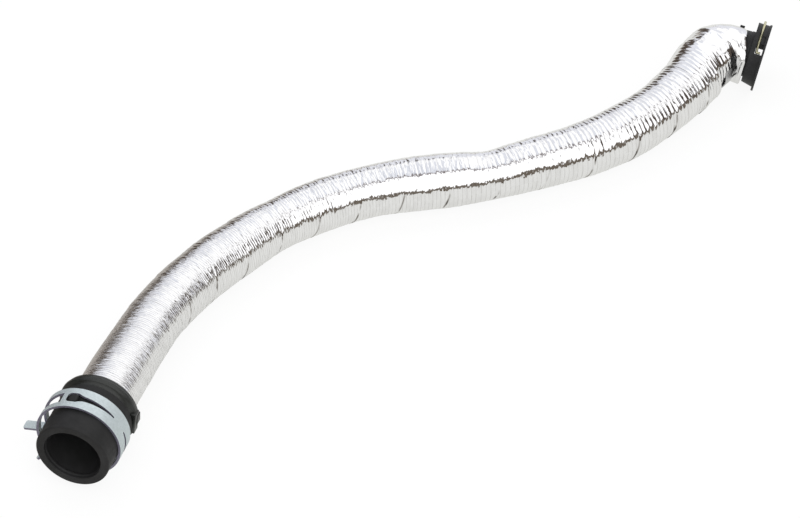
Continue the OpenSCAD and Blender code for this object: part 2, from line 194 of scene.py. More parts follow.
def swept(frames, radius):
    """Points of a tube in metres: radius[i, k] in mm at ring i and angle k."""
    phi = angles(radius.shape[1])
    right = np.array([f[0] for f in frames])[:, None, :]
    up = np.array([f[2] for f in frames])[:, None, :]
    place = np.array([f[3] for f in frames])[:, None, :]
    out = np.cos(phi)[None, :, None] * right + np.sin(phi)[None, :, None] * up
    return ((place + radius[:, :, None] * out) * MM).reshape(-1, 3)


def lathe(profile, around=128):
    """Points and faces of a closed profile [(radius, along)] turned about the cuff's axis."""
    phi = angles(around)
    points = [
        (r * math.cos(p) * MM, y * MM, r * math.sin(p) * MM) for r, y in profile for p in phi
    ]
    faces = []
    for i in range(len(profile)):
        j = (i + 1) % len(profile)
        for k in range(around):
            n = (k + 1) % around
            faces.append((i * around + k, j * around + k, j * around + n, i * around + n))
    return points, faces


def rounded(profile, steps=6):
    """A closed profile [(radius, along, rounding)] with its corners rounded."""
    made = []
    for i, (*corner, r) in enumerate(profile):
        if not r:
            made.append(tuple(corner))
            continue
        p = np.array(corner, float)
        a = np.array(profile[i - 1][:2], float) - p
        b = np.array(profile[(i + 1) % len(profile)][:2], float) - p
        a, b = a / np.linalg.norm(a), b / np.linalg.norm(b)
        half = math.acos(np.clip(a @ b, -1, 1)) / 2
        reach = r / math.tan(half)
        centre = p + (a + b) / np.linalg.norm(a + b) * r / math.sin(half)
        first, last = p + a * reach - centre, p + b * reach - centre
        for share in np.linspace(0, 1, steps):
            v = first * (1 - share) + last * share
            made.append(tuple(centre + v / np.linalg.norm(v) * r))
    return made


def turned_piece(name, profile, material):
    points, faces = lathe(rounded(profile))
    piece = mesh_object(name, points, faces, material)
    bm = bmesh.new()
    bm.from_mesh(piece.data)
    bmesh.ops.recalc_face_normals(bm, faces=bm.faces)
    bm.to_mesh(piece.data)
    bm.free()
    piece.data.shade_smooth()
    return piece


def rounded_block(name, size, roundings, material):
    """A block of a size in mm. Each rounding is a choice of edges or None for all of them, a
    radius in mm and its segments."""
    bm = bmesh.new()
    bmesh.ops.create_cube(bm, size=1)
    bmesh.ops.scale(bm, vec=[v * MM for v in size], verts=bm.verts)
    for chosen, radius, segments in roundings:
        edges = [e for e in bm.edges if chosen is None or chosen(e)]
        bmesh.ops.bevel(
            bm, geom=edges, offset=radius * MM, segments=segments, affect="EDGES", profile=0.5
        )
    mesh = bpy.data.meshes.new(name)
    bm.to_mesh(mesh)
    bm.free()
    mesh.shade_smooth()
    return link_object(name, mesh, material)


def stand_on_cuff(piece, degrees, radius, y):
    """Puts a piece at an angle from +X round the cuff's axis, with its own z pointing outward."""
    angle = math.radians(degrees)
    out, along = Vector((math.cos(angle), 0, math.sin(angle))), Vector((0, 1, 0))
    turn = Matrix((along.cross(out), along, out)).transposed().to_4x4()
    piece.matrix_world = Matrix.Translation((out * radius + along * y) * MM) @ turn


# Materials

NOISE_BAND = (0.3, 0.7)  # nearly all of a noise's values lie in it
GRAIN_DEPTH = 0.0001


class Nodes:
    """A small helper that adds shader nodes to a tree and links them."""

    def __init__(self, tree, coordinates):
        self.tree = tree
        self.place = self.node("ShaderNodeTexCoord").outputs[coordinates]

    def node(self, kind, **values):
        made = self.tree.nodes.new(kind)
        for name, value in values.items():
            setattr(made, name, value)
        return made

    def link(self, source, target):
        self.tree.links.new(source, target)

    def give(self, value, target):
        """Links a value that is another node's output, or sets one that is a number or colour."""
        if isinstance(value, bpy.types.NodeSocket):
            self.link(value, target)
        else:
            target.default_value = value

    def math(self, operation, a, *b):
        made = self.node("ShaderNodeMath", operation=operation)
        for value, socket in zip((a, *b), made.inputs):
            self.give(value, socket)
        return made.outputs["Value"]

    def span(self, source, low, high, start=0.0, end=1.0, form="LINEAR"):
        """The source's stretch from start to end as a value from low to high."""
        made = self.node("ShaderNodeMapRange", interpolation_type=form)
        made.inputs["From Min"].default_value = start
        made.inputs["From Max"].default_value = end
        made.inputs["To Min"].default_value = low
        made.inputs["To Max"].default_value = high
        self.link(source, made.inputs["Value"])
        return made.outputs["Result"]

    def split(self, source):
        made = self.node("ShaderNodeSeparateXYZ")
        self.link(source, made.inputs["Vector"])
        return made.outputs

    def over(self, below, share, colour):
        """A colour, or a node's output, with another colour laid over it by its share."""
        made = self.node("ShaderNodeMix", data_type="RGBA")
        self.link(share, made.inputs[0])
        lower, upper = [i for i in made.inputs if i.type == "RGBA"]
        self.give(below, lower)
        upper.default_value = colour
        return [o for o in made.outputs if o.type == "RGBA"][0]

    def mixed(self, share, first, second):
        made = self.node("ShaderNodeMixShader")
        self.link(share, made.inputs["Fac"])
        self.link(first, made.inputs[1])
        self.link(second, made.inputs[2])
        return made.outputs["Shader"]


class Shader(Nodes):
    """The nodes of a new material with one principled surface."""

    def __init__(self, name, **values):
        self.material = bpy.data.materials.new(name)
        self.material.use_nodes = True
        super().__init__(self.material.node_tree, "Object")
        self.bsdf = self.tree.nodes["Principled BSDF"]
        for key, value in values.items():
            self.bsdf.inputs[key.replace("_", " ")].default_value = value

    def to(self, name, source):
        self.link(source, self.bsdf.inputs[name])

    def noise(self, scale, detail=4.0, rough=0.55, place=None):
        made = self.node("ShaderNodeTexNoise")
        made.inputs["Scale"].default_value = scale
        made.inputs["Detail"].default_value = detail
        made.inputs["Roughness"].default_value = rough
        self.link(place or self.place, made.inputs["Vector"])
        return made.outputs["Fac"]

    def ramp(self, source, low, high, stops=NOISE_BAND):
        made = self.node("ShaderNodeValToRGB")
        for element, stop, colour in zip(made.color_ramp.elements, stops, (low, high)):
            element.position = stop
            element.color = (*colour, 1)
        self.link(source, made.inputs["Fac"])
        return made.outputs["Color"]

    def bump(self, source, strength, distance, normal=None):
        made = self.node("ShaderNodeBump")
        made.inputs["Strength"].default_value = strength
        made.inputs["Distance"].default_value = distance
        self.link(source, made.inputs["Height"])
        if normal is not None:
            self.link(normal, made.inputs["Normal"])
        return made.outputs["Normal"]


# the dark tone is painted shade in the grooves and in the seam's groove, and also the tone of the
# random streaks
RIDGE_TONE, SHADE_AND_STREAK_TONE = (0.94, 0.94, 0.95), (0.28, 0.26, 0.24)
# the colour of the painted shade in the seam's groove
SEAM_SHADE_TONE = (0.06, 0.055, 0.05, 1)
GROOVE_SHADE_FADES_TO, DULL_TO = 150.0, 110.0  # in ridges from the cuff: where the painted groove shade has faded to half, and where the foil is no longer dull
DULL, BRIGHT = 0.27, 0.10


def foil_material(name, streaks, coarse, grooves):
    """Bright rolled foil with painted shade in the grooves between its ridges and in its seam, fine
    streaks of random tone round the hose, duller near the cuff where the foil has been handled. The
    map's x counts ridges, its y goes once round. Streaks and coarse are strengths of bumps, and
    grooves is how dark the painted groove shade is."""
    m = Shader(name, Metallic=1.0, IOR=1.45)
    place = m.node("ShaderNodeUVMap", uv_map="foil").outputs["UV"]
    ridge = m.split(place)["X"]

    def lines(across, around, detail=3.0):
        stretch = m.node("ShaderNodeMapping")
        stretch.inputs["Scale"].default_value = (across, around, 1.0)
        m.link(place, stretch.inputs["Vector"])
        return m.noise(1.0, detail, 0.6, stretch.outputs["Vector"])

    # painted shade: the base colour is darkened in the grooves between the ridges, broken up by noise
    # and fading to half as dark away from the cuff, and in the seam's groove; the streaks are random
    # tone
    from_top = m.math("ABSOLUTE", m.math("SUBTRACT", m.math("FRACT", ridge), 0.5))
    groove = m.span(from_top, 0.0, 1.0, 0.36, 0.5)
    depth = m.span(ridge, grooves, 0.5 * grooves, 0.0, GROOVE_SHADE_FADES_TO)
    broken = m.span(m.span(lines(0.9, 14.0), 0.0, 1.0, 0.35, 0.65), 0.3, 1.0)
    shade = m.math("MULTIPLY", m.math("MULTIPLY", groove, depth), broken)
    streak = m.span(lines(0.45, 5.0), 0.0, 0.1, 0.42, 0.62)
    # the seam value is painted shade in the seam's groove
    seam = m.node("ShaderNodeAttribute", attribute_name="seam").outputs["Fac"]
    shade = m.math("MAXIMUM", m.math("MAXIMUM", shade, streak), m.math("MULTIPLY", seam, 2.2))
    colour = m.ramp(shade, RIDGE_TONE, SHADE_AND_STREAK_TONE, (0.0, 1.0))
    m.to("Base Color", m.over(colour, m.span(seam, 0.0, 0.85, 0.35, 0.8), SEAM_SHADE_TONE))

    dull = m.span(ridge, DULL, BRIGHT, 0.0, DULL_TO)
    m.to("Roughness", m.math("MULTIPLY", dull, m.span(m.noise(240, 5), 0.75, 1.3, *NOISE_BAND)))
    normal = m.bump(lines(0.6, 4.0), streaks, 0.0005)
    normal = m.bump(lines(0.8, 12.0, 2.0), streaks * 2, 0.0012, normal)
    m.to("Normal", m.bump(m.noise(160, 4, 0.6), coarse, 0.0006, normal))
    return m.material


def zinc_material(name):
    """Zinc flake coat on spring steel: pale blue-grey with a fine grain, darker on sheared edges."""
    m = Shader(name, Metallic=0.55, Specular_IOR_Level=0.5)
    coat = m.ramp(m.noise(700, 5, 0.7), (0.45, 0.51, 0.52), (0.57, 0.63, 0.65))
    facing = m.split(m.node("ShaderNodeTexCoord").outputs["Normal"])["Y"]
    edge = m.span(m.math("ABSOLUTE", facing), 0.0, 1.0, 0.5, 0.85)
    m.to("Base Color", m.over(coat, edge, (0.21, 0.20, 0.26, 1)))
    m.to("Roughness", m.span(m.noise(1500, 4), 0.38, 0.6, *NOISE_BAND))
    m.to("Normal", m.bump(m.noise(2600, 5, 0.7), 0.3, GRAIN_DEPTH))
    return m.material


def plain_material(name, tones, roughness, noises, grain, **values):
    """A surface whose tone, roughness and grain each come from a noise of (scale, detail)."""
    m = Shader(name, **values)
    tone, dull, fine = [m.noise(*row) for row in noises]
    m.to("Base Color", m.ramp(tone, *tones))
    m.to("Roughness", m.span(dull, *roughness, *NOISE_BAND))
    m.to("Normal", m.bump(fine, grain, GRAIN_DEPTH))
    return m.material


def rubber_material(name, dark, light, roughness=(0.5, 0.65)):
    noises = ((90, 5), (400, 4), (2200, 4))
    return plain_material(
        name, (dark, light), roughness, noises, grain=0.25, Specular_IOR_Level=0.22
    )


def plastic_material(name, dark, light, roughness, gloss=0.5):
    noises = ((130, 5), (600, 4), (1800, 5))
    return plain_material(
        name, (dark, light), roughness, noises, grain=0.2, Specular_IOR_Level=gloss
    )


def wire_material(name):
    """Spring wire with a pale brass-coloured coat."""
    tones = (0.50, 0.47, 0.30), (0.66, 0.63, 0.44)
    noises = ((500, 4), (900, 4), (2500, 3))
    return plain_material(name, tones, (0.25, 0.4), noises, grain=0.15, Metallic=0.75)


def steel_material(name):
    tones = (0.55, 0.55, 0.56), (0.68, 0.68, 0.69)
    noises = ((300, 4), (800, 4), (1200, 4))
    return plain_material(name, tones, (0.25, 0.4), noises, grain=0.2, Metallic=1.0)


# The foil's ridges, seam and dents, in mm along the hose

SLEEVE_FROM, SLEEVE_TO = 39.6, CORNER_S - 33
WRAP_FROM = CORNER_S - 51
GROOVES_TO = CORNER_S + 20
PITCH_S, PITCH = [40, 190, 260, 330, 400, 560], [1.45, 1.6, 1.9, 2.5, 3.0, 2.9]
PITCH_SPREAD = 0.08


def ridge_places():
    """Distances of the grooves between the ridges: close near the cuff, wider apart further on."""
    places, s = [], SLEEVE_FROM
    while s < GROOVES_TO:
        places.append(s)
        s += np.interp(s, PITCH_S, PITCH) * rng.uniform(1 - PITCH_SPREAD, 1 + PITCH_SPREAD)
    return np.array(places)


GROOVES = ridge_places()
RIDGE_S = [40, 75, 120, 190, 260, 330, 400, 460, 545]
RIDGE_H = [0.04, 0.08, 0.13, 0.14, 0.07, 0.06, 0.09, 0.25, 0.33]
RIDGE_SPREAD, RIDGE_UNEVEN = 0.3, 0.35  # from ridge to ridge, and along one ridge
RIDGE_SIZE = 1 + RIDGE_SPREAD * rng.uniform(-1, 1, len(GROOVES))
RINGS_NEAR, RINGS_FAR, NEAR_TO = 5, 7, 190  # how many rings draw one ridge
CLEAR_OF_ENDS = 0.1
FOIL_IN = 0.1  # the ridges' tops lie this far inside the sleeve's outside radius

SEAM_PITCH, SEAM_START = 30.0, 18.0
SEAM_WIDTH, SEAM_DEPTH = 0.5, 0.2
SEAM_SHOWN, SEAM_BREAKS = 0.55, 0.9
# painted shade in the seam's groove: it starts this far along, grows over this length, and shows where
# the sine of the angle round the hose is below the last
SEAM_SHADE_FROM, SEAM_SHADE_GROW, SEAM_SHADE_UP_TO = 90, 60, 0.75
STRIP_SLOPE, STRIP_LEAN, STRIP_TURNS, STRIP_SEED = 0.16, 0.4, 40, 11
LEAN_S, LEAN_SHARE = [60, 250, 380], [0.15, 0.45, 1]
CALM_L, CALM_SHARE = 60, 0.1  # near the cuff the foil is straighter

# noise fields: cell length, cells around and seed, with a height in front where they are summed
UNEVEN_RIDGES = (4, 9, 3)
BROKEN_SEAM = (2.2, 24, 5)
DENTS = [(0.22, 21, 4, 8), (0.12, 8, 8, 9), (0.1, 1.3, 30, 12), (0.05, 2.6, 17, 13)]
LUMPS = [(0.45, 9, 9, 21), (0.2, 4, 21, 22)]
CRINKLES = [(0.08, 1.5, 40, 24)]
FIELD_L = 700  # longer than the hose


def field(s, phi, cell, cols, seed):
    """Smooth noise over the foil in -1..1, with cells of a given length, cols of them around."""
    grid = np.random.default_rng(seed).uniform(-1, 1, (int(FIELD_L / cell), cols))
    y, x = (s / cell)[:, None], (phi / (2 * np.pi) * cols)[None, :]
    yi, xi = np.floor(y).astype(int), np.floor(x).astype(int)
    ty, tx = y - yi, x - xi
    ty, tx = ty * ty * (3 - 2 * ty), tx * tx * (3 - 2 * tx)

    def corner(dy, dx):
        return grid[yi + dy, (xi + dx) % cols]

    low = corner(0, 0) * (1 - tx) + corner(0, 1) * tx
    high = corner(1, 0) * (1 - tx) + corner(1, 1) * tx
    return low * (1 - ty) + high * ty


def summed(s, phi, rows):
    """Noise fields of several sizes added up."""
    return sum(height * field(s, phi, *cells) for height, *cells in rows)


def folded(s, phi, rows):
    """The same, with sharp folds where the noise passes through zero."""
    return sum(height * (1 - 2 * np.abs(field(s, phi, *cells))) for height, *cells in rows)


def ring_places(start, end):
    """Places of the rings of a stretch of foil."""
    places = []
    for low, high in zip(GROOVES[:-1], GROOVES[1:]):
        n = RINGS_NEAR if low < NEAR_TO else RINGS_FAR
        places += [low + (high - low) * i / n for i in range(n)]
    places = np.array(places)
    inside = (places > start + CLEAR_OF_ENDS) & (places < end - CLEAR_OF_ENDS)
    return np.concatenate([[start], places[inside], [end]])


def seam_turns(s, phi):
    """How many turns of the wound strip lie before each point: whole turns, and the part left."""
    turns = (s[:, None] - SEAM_START) / SEAM_PITCH - phi[None, :] / (2 * np.pi)
    whole = np.floor(turns)
    return whole.astype(int), turns - whole


def seam_share(s, phi):
    """How far each point of the foil is in the seam's groove, which shows in broken pieces."""
    _, part = seam_turns(s, phi)
    near = np.exp(-((np.minimum(part, 1 - part) * SEAM_PITCH / SEAM_WIDTH) ** 2))
    return near * np.clip(SEAM_SHOWN + SEAM_BREAKS * field(s, phi, *BROKEN_SEAM), 0, 1)


def strip_step(s, phi):
    """The wound strip steps under its next turn, and each turn leans its own way."""
    whole, part = seam_turns(s, phi)
    source = np.random.default_rng(STRIP_SEED)
    lean = source.uniform(-STRIP_LEAN, STRIP_LEAN, STRIP_TURNS)
    facing = source.uniform(0, 2 * np.pi, STRIP_TURNS)
    index = whole % STRIP_TURNS
    grown = np.interp(s, LEAN_S, LEAN_SHARE)[:, None]
    tilt = grown * lean[index] * np.cos(phi[None, :] - facing[index])
    return STRIP_SLOPE * (0.5 - part) + tilt * (part - 0.5)


def foil_radius(s, phi):
    """The foil's radius at each place along the hose and angle round it."""
    ridge = np.clip(np.searchsorted(GROOVES, s, side="right") - 1, 0, len(GROOVES) - 2)
    part = (s - GROOVES[ridge]) / (GROOVES[ridge + 1] - GROOVES[ridge])
    height = (np.interp(s, RIDGE_S, RIDGE_H) * RIDGE_SIZE[ridge])[:, None]
    height = height * (1 + RIDGE_UNEVEN * field(s, phi, *UNEVEN_RIDGES))
    ridges = -height * (1 - np.abs(np.sin(np.pi * part)))[:, None]
    wrinkles = strip_step(s, phi) - SEAM_DEPTH * seam_share(s, phi) + summed(s, phi, DENTS)
    calm = np.clip((s - SLEEVE_FROM) / CALM_L, CALM_SHARE, 1)[:, None]
    return sleeve_r(s)[:, None] + ridges + wrinkles * calm - FOIL_IN


def add_map(piece, s, phi):
    """A map of ridges along the foil and turns round it, and a value of painted shade in the seam's
    groove, which the foil's material reads. This painted shade is only on the lower half, away from
    the cuff."""
    around = len(phi)
    count = np.interp(s, GROOVES, np.arange(len(GROOVES)))
    layer = piece.data.uv_layers.new(name="foil")
    loop = np.arange(len(piece.data.loops))
    corner, ring, column = loop % 4, loop // 4 // around, loop // 4 % around
    u = count[np.clip(ring + (corner > 1), 0, len(count) - 1)]
    v = (column + ((corner == 1) | (corner == 2))) / around
    layer.data.foreach_set("uv", np.stack([u, v], axis=-1).ravel())
    # painted shade in the seam's groove, only on the lower half of the hose and away from the cuff
    low = np.clip(SEAM_SHADE_UP_TO - np.sin(phi), 0, 1)[None, :]
    far = np.clip((s - SEAM_SHADE_FROM) / SEAM_SHADE_GROW, 0, 1)[:, None]
    seam_shade = (seam_share(s, phi) * low * far).ravel()
    seam = piece.data.attributes.new("seam", "FLOAT", "POINT")
    seam.data.foreach_set("value", seam_shade[: len(piece.data.vertices)])


# The foil sleeve

SLEEVE_AROUND = 60
UNDER_WRAP, UNDER_L = 0.45, 2
LINING_IN = 1.15


def make_foil_sleeve(material):
    phi = angles(SLEEVE_AROUND)
    along = ring_places(SLEEVE_FROM, SLEEVE_TO)
    under = np.clip((along - WRAP_FROM) / UNDER_L, 0, 1) * UNDER_WRAP
    outside = swept([at(d) for d in along], foil_radius(along, phi) - under[:, None])
    lining = np.linspace(SLEEVE_TO, SLEEVE_FROM, 40)
    lining_r = np.repeat((sleeve_r(lining) - LINING_IN)[:, None], SLEEVE_AROUND, axis=1)
    inside = swept([at(d) for d in lining], lining_r)
    rings = len(along) + len(lining)
    faces = tube_faces(rings, SLEEVE_AROUND)
    last = (rings - 1) * SLEEVE_AROUND
    for k in range(SLEEVE_AROUND):
        n = (k + 1) % SLEEVE_AROUND
        faces.append((last + k, last + n, n, k))
    piece = mesh_object("foil_sleeve_skin", np.concatenate([outside, inside]), faces, material)
    add_map(piece, np.concatenate([along, lining]), phi)
    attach(piece, "hose")
    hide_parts("foil_sleeve")


# The crumpled foil over the elbow: it rises to one side, bends over and closes round the neck

WRAP_AROUND = 120
WRAP_WALL = 0.25
BULGE_BACK, BULGE_BEND, BULGE_LEAN = 11.9, 16.2, 53
BEND_S = CORNER_S - BULGE_BACK
BEND_L = arc_length(BULGE_BEND, BULGE_LEAN)
BULGE_TO = BEND_S + BEND_L
LIFT = np.array([-0.783, 0.270, 0.560])  # towards the photograph's upper left
BULGE_LIFT, BULGE_DROP = 4.2, 6.7
LIFT_BACK = [28, 46]  # in front of the corner, from all of the lift to none
DOME_L, DOME_END_R = 5, 17
LIP_ON, LIP_IN = np.array([0.3, 0.8, 1.2]), np.array([0.7, 2.5, 4.8])
LUMPS_IN, RIDGES_OUT = 0.3, 0.02
FULL_RELIEF_R = 18.3  # the relief shrinks where the end is narrower
CRUMPLE_L, CRUMPLE_BACK, CRUMPLE_UPPER, CRUMPLE_TURN = 15, 1.9, 1.3, 0.5
CREASE_S, CREASE_DEPTH = [BEND_S - 8, BEND_S, BULGE_TO], [21, 15.6, 15.2]
STUB_L, NECK_L = 20, 12
BURIED_R = 12.2


def elbow_line():
    """Points on the middle line of the connector's stub, bend and neck."""
    back = ELBOW_R * math.tan(math.radians(ELBOW_ANGLE / 2))
    start = at(CORNER_S - back)
    points = [at(CORNER_S - back - d)[3] for d in np.linspace(0, STUB_L, STUB_L + 1)]
    points += [bent(start, ELBOW_R, a, ELBOW_SIDE)[3] for a in np.linspace(0, ELBOW_ANGLE, 34)]
    end = bent(start, ELBOW_R, ELBOW_ANGLE, ELBOW_SIDE)
    return np.array(points + [moved(end, d)[3] for d in np.linspace(0, NECK_L, NECK_L + 1)])


def wrap_path(along, beyond):
    """Frames along the hose, round the bulge's bend and for its lip, each with its lift."""
    path = [(at(d), np.interp(CORNER_S - d, LIFT_BACK, [BULGE_LIFT, 0])) for d in along]
    start = at(BEND_S)
    for share in beyond / BEND_L:
        turned_frame = bent(start, BULGE_BEND, BULGE_LEAN * share, ELBOW_SIDE)
        path.append((turned_frame, BULGE_LIFT - BULGE_DROP * share))
    return path + [path[-1]] * len(LIP_ON)


def wrap_radius(s, phi):
    """Ridges that fade into lumps. The end closes as a dome, and its lip turns in to the neck."""
    closing = np.clip(1 - (BULGE_TO - s) / DOME_L, 0, 1)
    shape = DOME_END_R + (sleeve_r(s) - DOME_END_R) * np.sqrt(1 - closing * closing)
    shape[-len(LIP_IN):] = DOME_END_R - LIP_IN
    ridged = foil_radius(s, phi) - sleeve_r(s)[:, None] + RIDGES_OUT
    lumps = folded(s, phi, LUMPS) + summed(s, phi, CRINKLES) - LUMPS_IN
    upper = 0.5 + 0.5 * np.sin(phi - CRUMPLE_TURN)
    begun = ((s - WRAP_FROM) / CRUMPLE_L)[:, None] - CRUMPLE_BACK
    fade = np.clip(begun + CRUMPLE_UPPER * upper[None, :], 0, 1)
    relief = ridged * (1 - fade) + lumps * fade
    return shape[:, None] + relief * (shape / FULL_RELIEF_R)[:, None]


def creased(points, frames, s):
    """Inside the bend the foil folds where its rings would run through each other."""
    toward = np.array([inward(f, ELBOW_SIDE) for f in frames])[:, None, :] * MM
    middle = np.array([f[3] for f in frames])[:, None, :] * MM
    limit = np.interp(s, CREASE_S, CREASE_DEPTH)[:, None]
    rings = points.reshape(len(s), -1, 3)
    depth = ((rings - middle) * toward).sum(axis=2) / MM**2
    return (rings - np.clip(depth - limit, 0, None)[:, :, None] * toward).reshape(-1, 3)


def leave_out(piece, buried):
    """Takes away the faces whose points are all inside the connector."""
    bm = bmesh.new()
    bm.from_mesh(piece.data)
    bm.faces.ensure_lookup_table()
    hidden = [f for f in bm.faces if all(buried[v.index] for v in f.verts)]
    bmesh.ops.delete(bm, geom=hidden, context="FACES")
    bmesh.ops.delete(bm, geom=[v for v in bm.verts if not v.link_faces], context="VERTS")
    bm.to_mesh(piece.data)
    bm.free()
    piece.data.shade_smooth()


def make_foil_wrap(material):
    phi = angles(WRAP_AROUND)
    along = ring_places(WRAP_FROM, BEND_S)
    beyond = BEND_L * np.sin(np.linspace(0, np.pi / 2, 49)[1:])
    s = np.concatenate([along, BEND_S + beyond, BULGE_TO + LIP_ON])
    path = wrap_path(along, beyond)
    lifted = [(*f[:3], f[3] + lift * LIFT) for f, lift in path]
    points = creased(swept(lifted, wrap_radius(s, phi)), [f for f, _ in path], s)
    away = np.linalg.norm(points[:, None, :] - elbow_line()[None, :, :] * MM, axis=2)
    faces = tube_faces(len(s), WRAP_AROUND)
    piece = mesh_object("foil_end_skin", points, faces, material)
    add_map(piece, s, phi)
    leave_out(piece, away.min(axis=1) < BURIED_R * MM)
    wall = piece.modifiers.new("foil_wall", "SOLIDIFY")
    wall.thickness = WRAP_WALL * MM
    wall.offset = -1
    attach(piece, "hose")
    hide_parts("foil_end_wrap")


# The cuff, its bump and the collar

CUFF_R, BORE_R, BORE_L = 22.0, 17.0, 27.0
NECK_R, NECK_TO = 16.2, 50.0
HOSE_SEAT_R, HOSE_SEAT_FROM = 13.6, 38.0
AIR_R, SHOULDER = 10.5, 35.0
INNER_RING_R = 16.55
CUFF_PROFILE = [
    (BORE_R, 0.0, 0.7),
    (CUFF_R, 0.0, 1.1),
    (CUFF_R, CUFF_L, 0.9),
    (NECK_R, CUFF_L, 0.3),
    (NECK_R, NECK_TO, 0.4),
    (HOSE_SEAT_R, NECK_TO, 0),
    (HOSE_SEAT_R, HOSE_SEAT_FROM, 0),
    (AIR_R, HOSE_SEAT_FROM, 0),
    (AIR_R, SHOULDER, 0.3),
    (BORE_R, BORE_L, 0),
    (BORE_R, 4.2, 0.4),
    (INNER_RING_R, 3.4, 0.3),
    (INNER_RING_R, 2.6, 0.3),
    (BORE_R, 1.8, 0.4),
]
BUMP_SIZE, BUMP_ANGLE, BUMP_R, BUMP_Y = (5.4, 5.8, 5.4), 105, 22.5, 21.5

COLLAR_BORE_R, COLLAR_GRIP_R, COLLAR_R = 16.44, 18.1, 23.7
COLLAR_WEB, COLLAR_L = 2.6, 8.4
COLLAR_PROFILE = [
    (COLLAR_BORE_R, 0, 0),
    (20.8, 0, 0.3),
    (21.4, 1.2, 0),
    (22.9, 2, 0.4),
    (COLLAR_R, 2.8, 0.4),
    (COLLAR_R, 4.6, 0.4),
    (23.0, 5.4, 0.3),
    (22.8, 7.0, 0.5),
    (21.5, COLLAR_L, 0.5),
    (COLLAR_GRIP_R, COLLAR_L, 0.3),
    (COLLAR_GRIP_R, COLLAR_WEB, 0),
    (COLLAR_BORE_R, COLLAR_WEB, 0),
]

# the lug's two blocks: name, size, angle, radius and place on the collar
LUG = [
    ("collar_lug", (15, 5.6, 3.6), -7, 21.5, 3.0),
    ("collar_lug_step", (6.4, 4.4, 4.0), -3, 21.9, 5.0),
]
LUG_ROUNDING = 0.45


def upright(edge):
    return abs(edge.verts[0].co.z - edge.verts[1].co.z) > 0.1 * MM


def on_top(edge):
    return all(v.co.z > (BUMP_SIZE[2] / 2 - 0.1) * MM for v in edge.verts)


def make_cuff(material):
    piece = turned_piece("cuff_body", CUFF_PROFILE, material)
    bump = make_bump(material)
    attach(piece, "hose")
    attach(bump, "hose")
    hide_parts("end_cuff")


def make_bump(material):
    """The moulded bump in the clamp's key slot, with a rounded top."""
    piece = rounded_block("cuff_bump", BUMP_SIZE, [(upright, 2, 5), (on_top, 0.7, 3)], material)
    stand_on_cuff(piece, BUMP_ANGLE, BUMP_R, BUMP_Y)
    return piece


def make_collar(material):
    """The ring that grips the sleeve's end, with its stepped lug on the right."""
    profile = [(r, COLLAR_S + y, rounding) for r, y, rounding in COLLAR_PROFILE]
    ring = turned_piece("collar_ring", profile, material)
    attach(ring, "hose")
    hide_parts("sleeve_collar")
    for name, size, degrees, radius, y in LUG:
        lug = rounded_block(name, size, [(None, LUG_ROUNDING, 3)], material)
        stand_on_cuff(lug, degrees, radius, COLLAR_S + y)
        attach(lug, "hose")


# CAD nodes that stay


def dress(node, material, width=0.0):
    """Gives a CAD node its material and, where a width in mm is given, soft edges."""
    piece = nodes[node]
    piece.data.materials.clear()
    piece.data.materials.append(material)
    if width:
        bevel = piece.modifiers.new("soft_edges", "BEVEL")
        bevel.width = width * MM
        bevel.segments = 2
        bevel.limit_method = "ANGLE"
        bevel.angle_limit = math.radians(40)


# Floor

WHITE = (1, 1, 1, 1)
FLOOR_CENTRE, FLOOR_SIZE, FLOOR_GAP = (0.14, 0.25), 6, 0.0005
FLOOR_TONES = (0.86, 0.86, 0.85), (0.87, 0.87, 0.86)
PAINTED_DIM_REFLECTION, PAINTED_PALE_REFLECTION = (0.3, 0.26, 0.22), (0.74, 0.74, 0.71)
REFLECTION_DIM_TO, REFLECTION_PALE_FROM = -0.23, -0.13  # in the floor's own x, where the painted reflection turns from dim to pale
SHOWN_WHITE, PAINTED_REFLECTION_SHARE = 0.9, 0.85


def make_floor(z):
    """White to the camera but for the object's shadow. To glossy rays it glows with a painted
    reflection that is pale under the hose and dim on the left of it, mixed with a little of its lit
    surface."""
    mesh = bpy.data.meshes.new("floor")
    bm = bmesh.new()
    bmesh.ops.create_grid(bm, x_segments=1, y_segments=1, size=FLOOR_SIZE)
    bm.to_mesh(mesh)
    bm.free()
    m = Shader("floor_white_painted_reflection", Roughness=0.9, Specular_IOR_Level=0.0)
    m.to("Base Color", m.ramp(m.noise(3, 2), *FLOOR_TONES))
    # painted reflection: a glow seen only by glossy rays, dim on the floor's left and pale under the
    # hose
    painted_reflection = m.node("ShaderNodeEmission")
    share = m.span(m.split(m.place)["X"], 0.0, 1.0, REFLECTION_DIM_TO, REFLECTION_PALE_FROM)
    m.link(m.ramp(share, PAINTED_DIM_REFLECTION, PAINTED_PALE_REFLECTION, (0, 1)), painted_reflection.inputs["Color"])
    white = m.node("ShaderNodeEmission")
    white.inputs["Color"].default_value = WHITE
    ray = m.node("ShaderNodeLightPath").outputs
    reflection_share = m.span(ray["Is Glossy Ray"], 0.0, PAINTED_REFLECTION_SHARE)
    look = m.mixed(reflection_share, m.bsdf.outputs["BSDF"], painted_reflection.outputs["Emission"])
    seen = m.span(ray["Is Camera Ray"], 0.0, SHOWN_WHITE)
    look = m.mixed(seen, look, white.outputs["Emission"])
    m.link(look, m.tree.nodes["Material Output"].inputs["Surface"])
    floor = link_object("floor", mesh, m.material)
    floor.location = (*FLOOR_CENTRE, z)


# World and lamps

SKY, ZENITH = (0.83, 0.84, 0.89, 1), (0.80, 0.82, 0.88, 1)
BACK_BOX, BACK_BOX_AT = (1.15, 1.15, 1.15, 1), (0.406, 0.579, 0.707)
DISC, DISC_AT = (1.1, 1.1, 1.1, 1), (-0.2, 0.77, 0.6)
FRONT_BOX = (1.3, 1.3, 1.3, 1)
ROOM, ROOM_IN_FRONT = (0.085, 0.068, 0.056, 1), (0.15, 0.125, 0.1, 1)
GAP = (0.25, 0.22, 0.22, 1)
UP, LEANING_UP = (0, 0, 1), (-0.1, 0, 1)
FRONT, SIDE, BACK = (0.454, -0.89, 0), (0.89, 0.454, 0), (0.17, 0.985, 0)


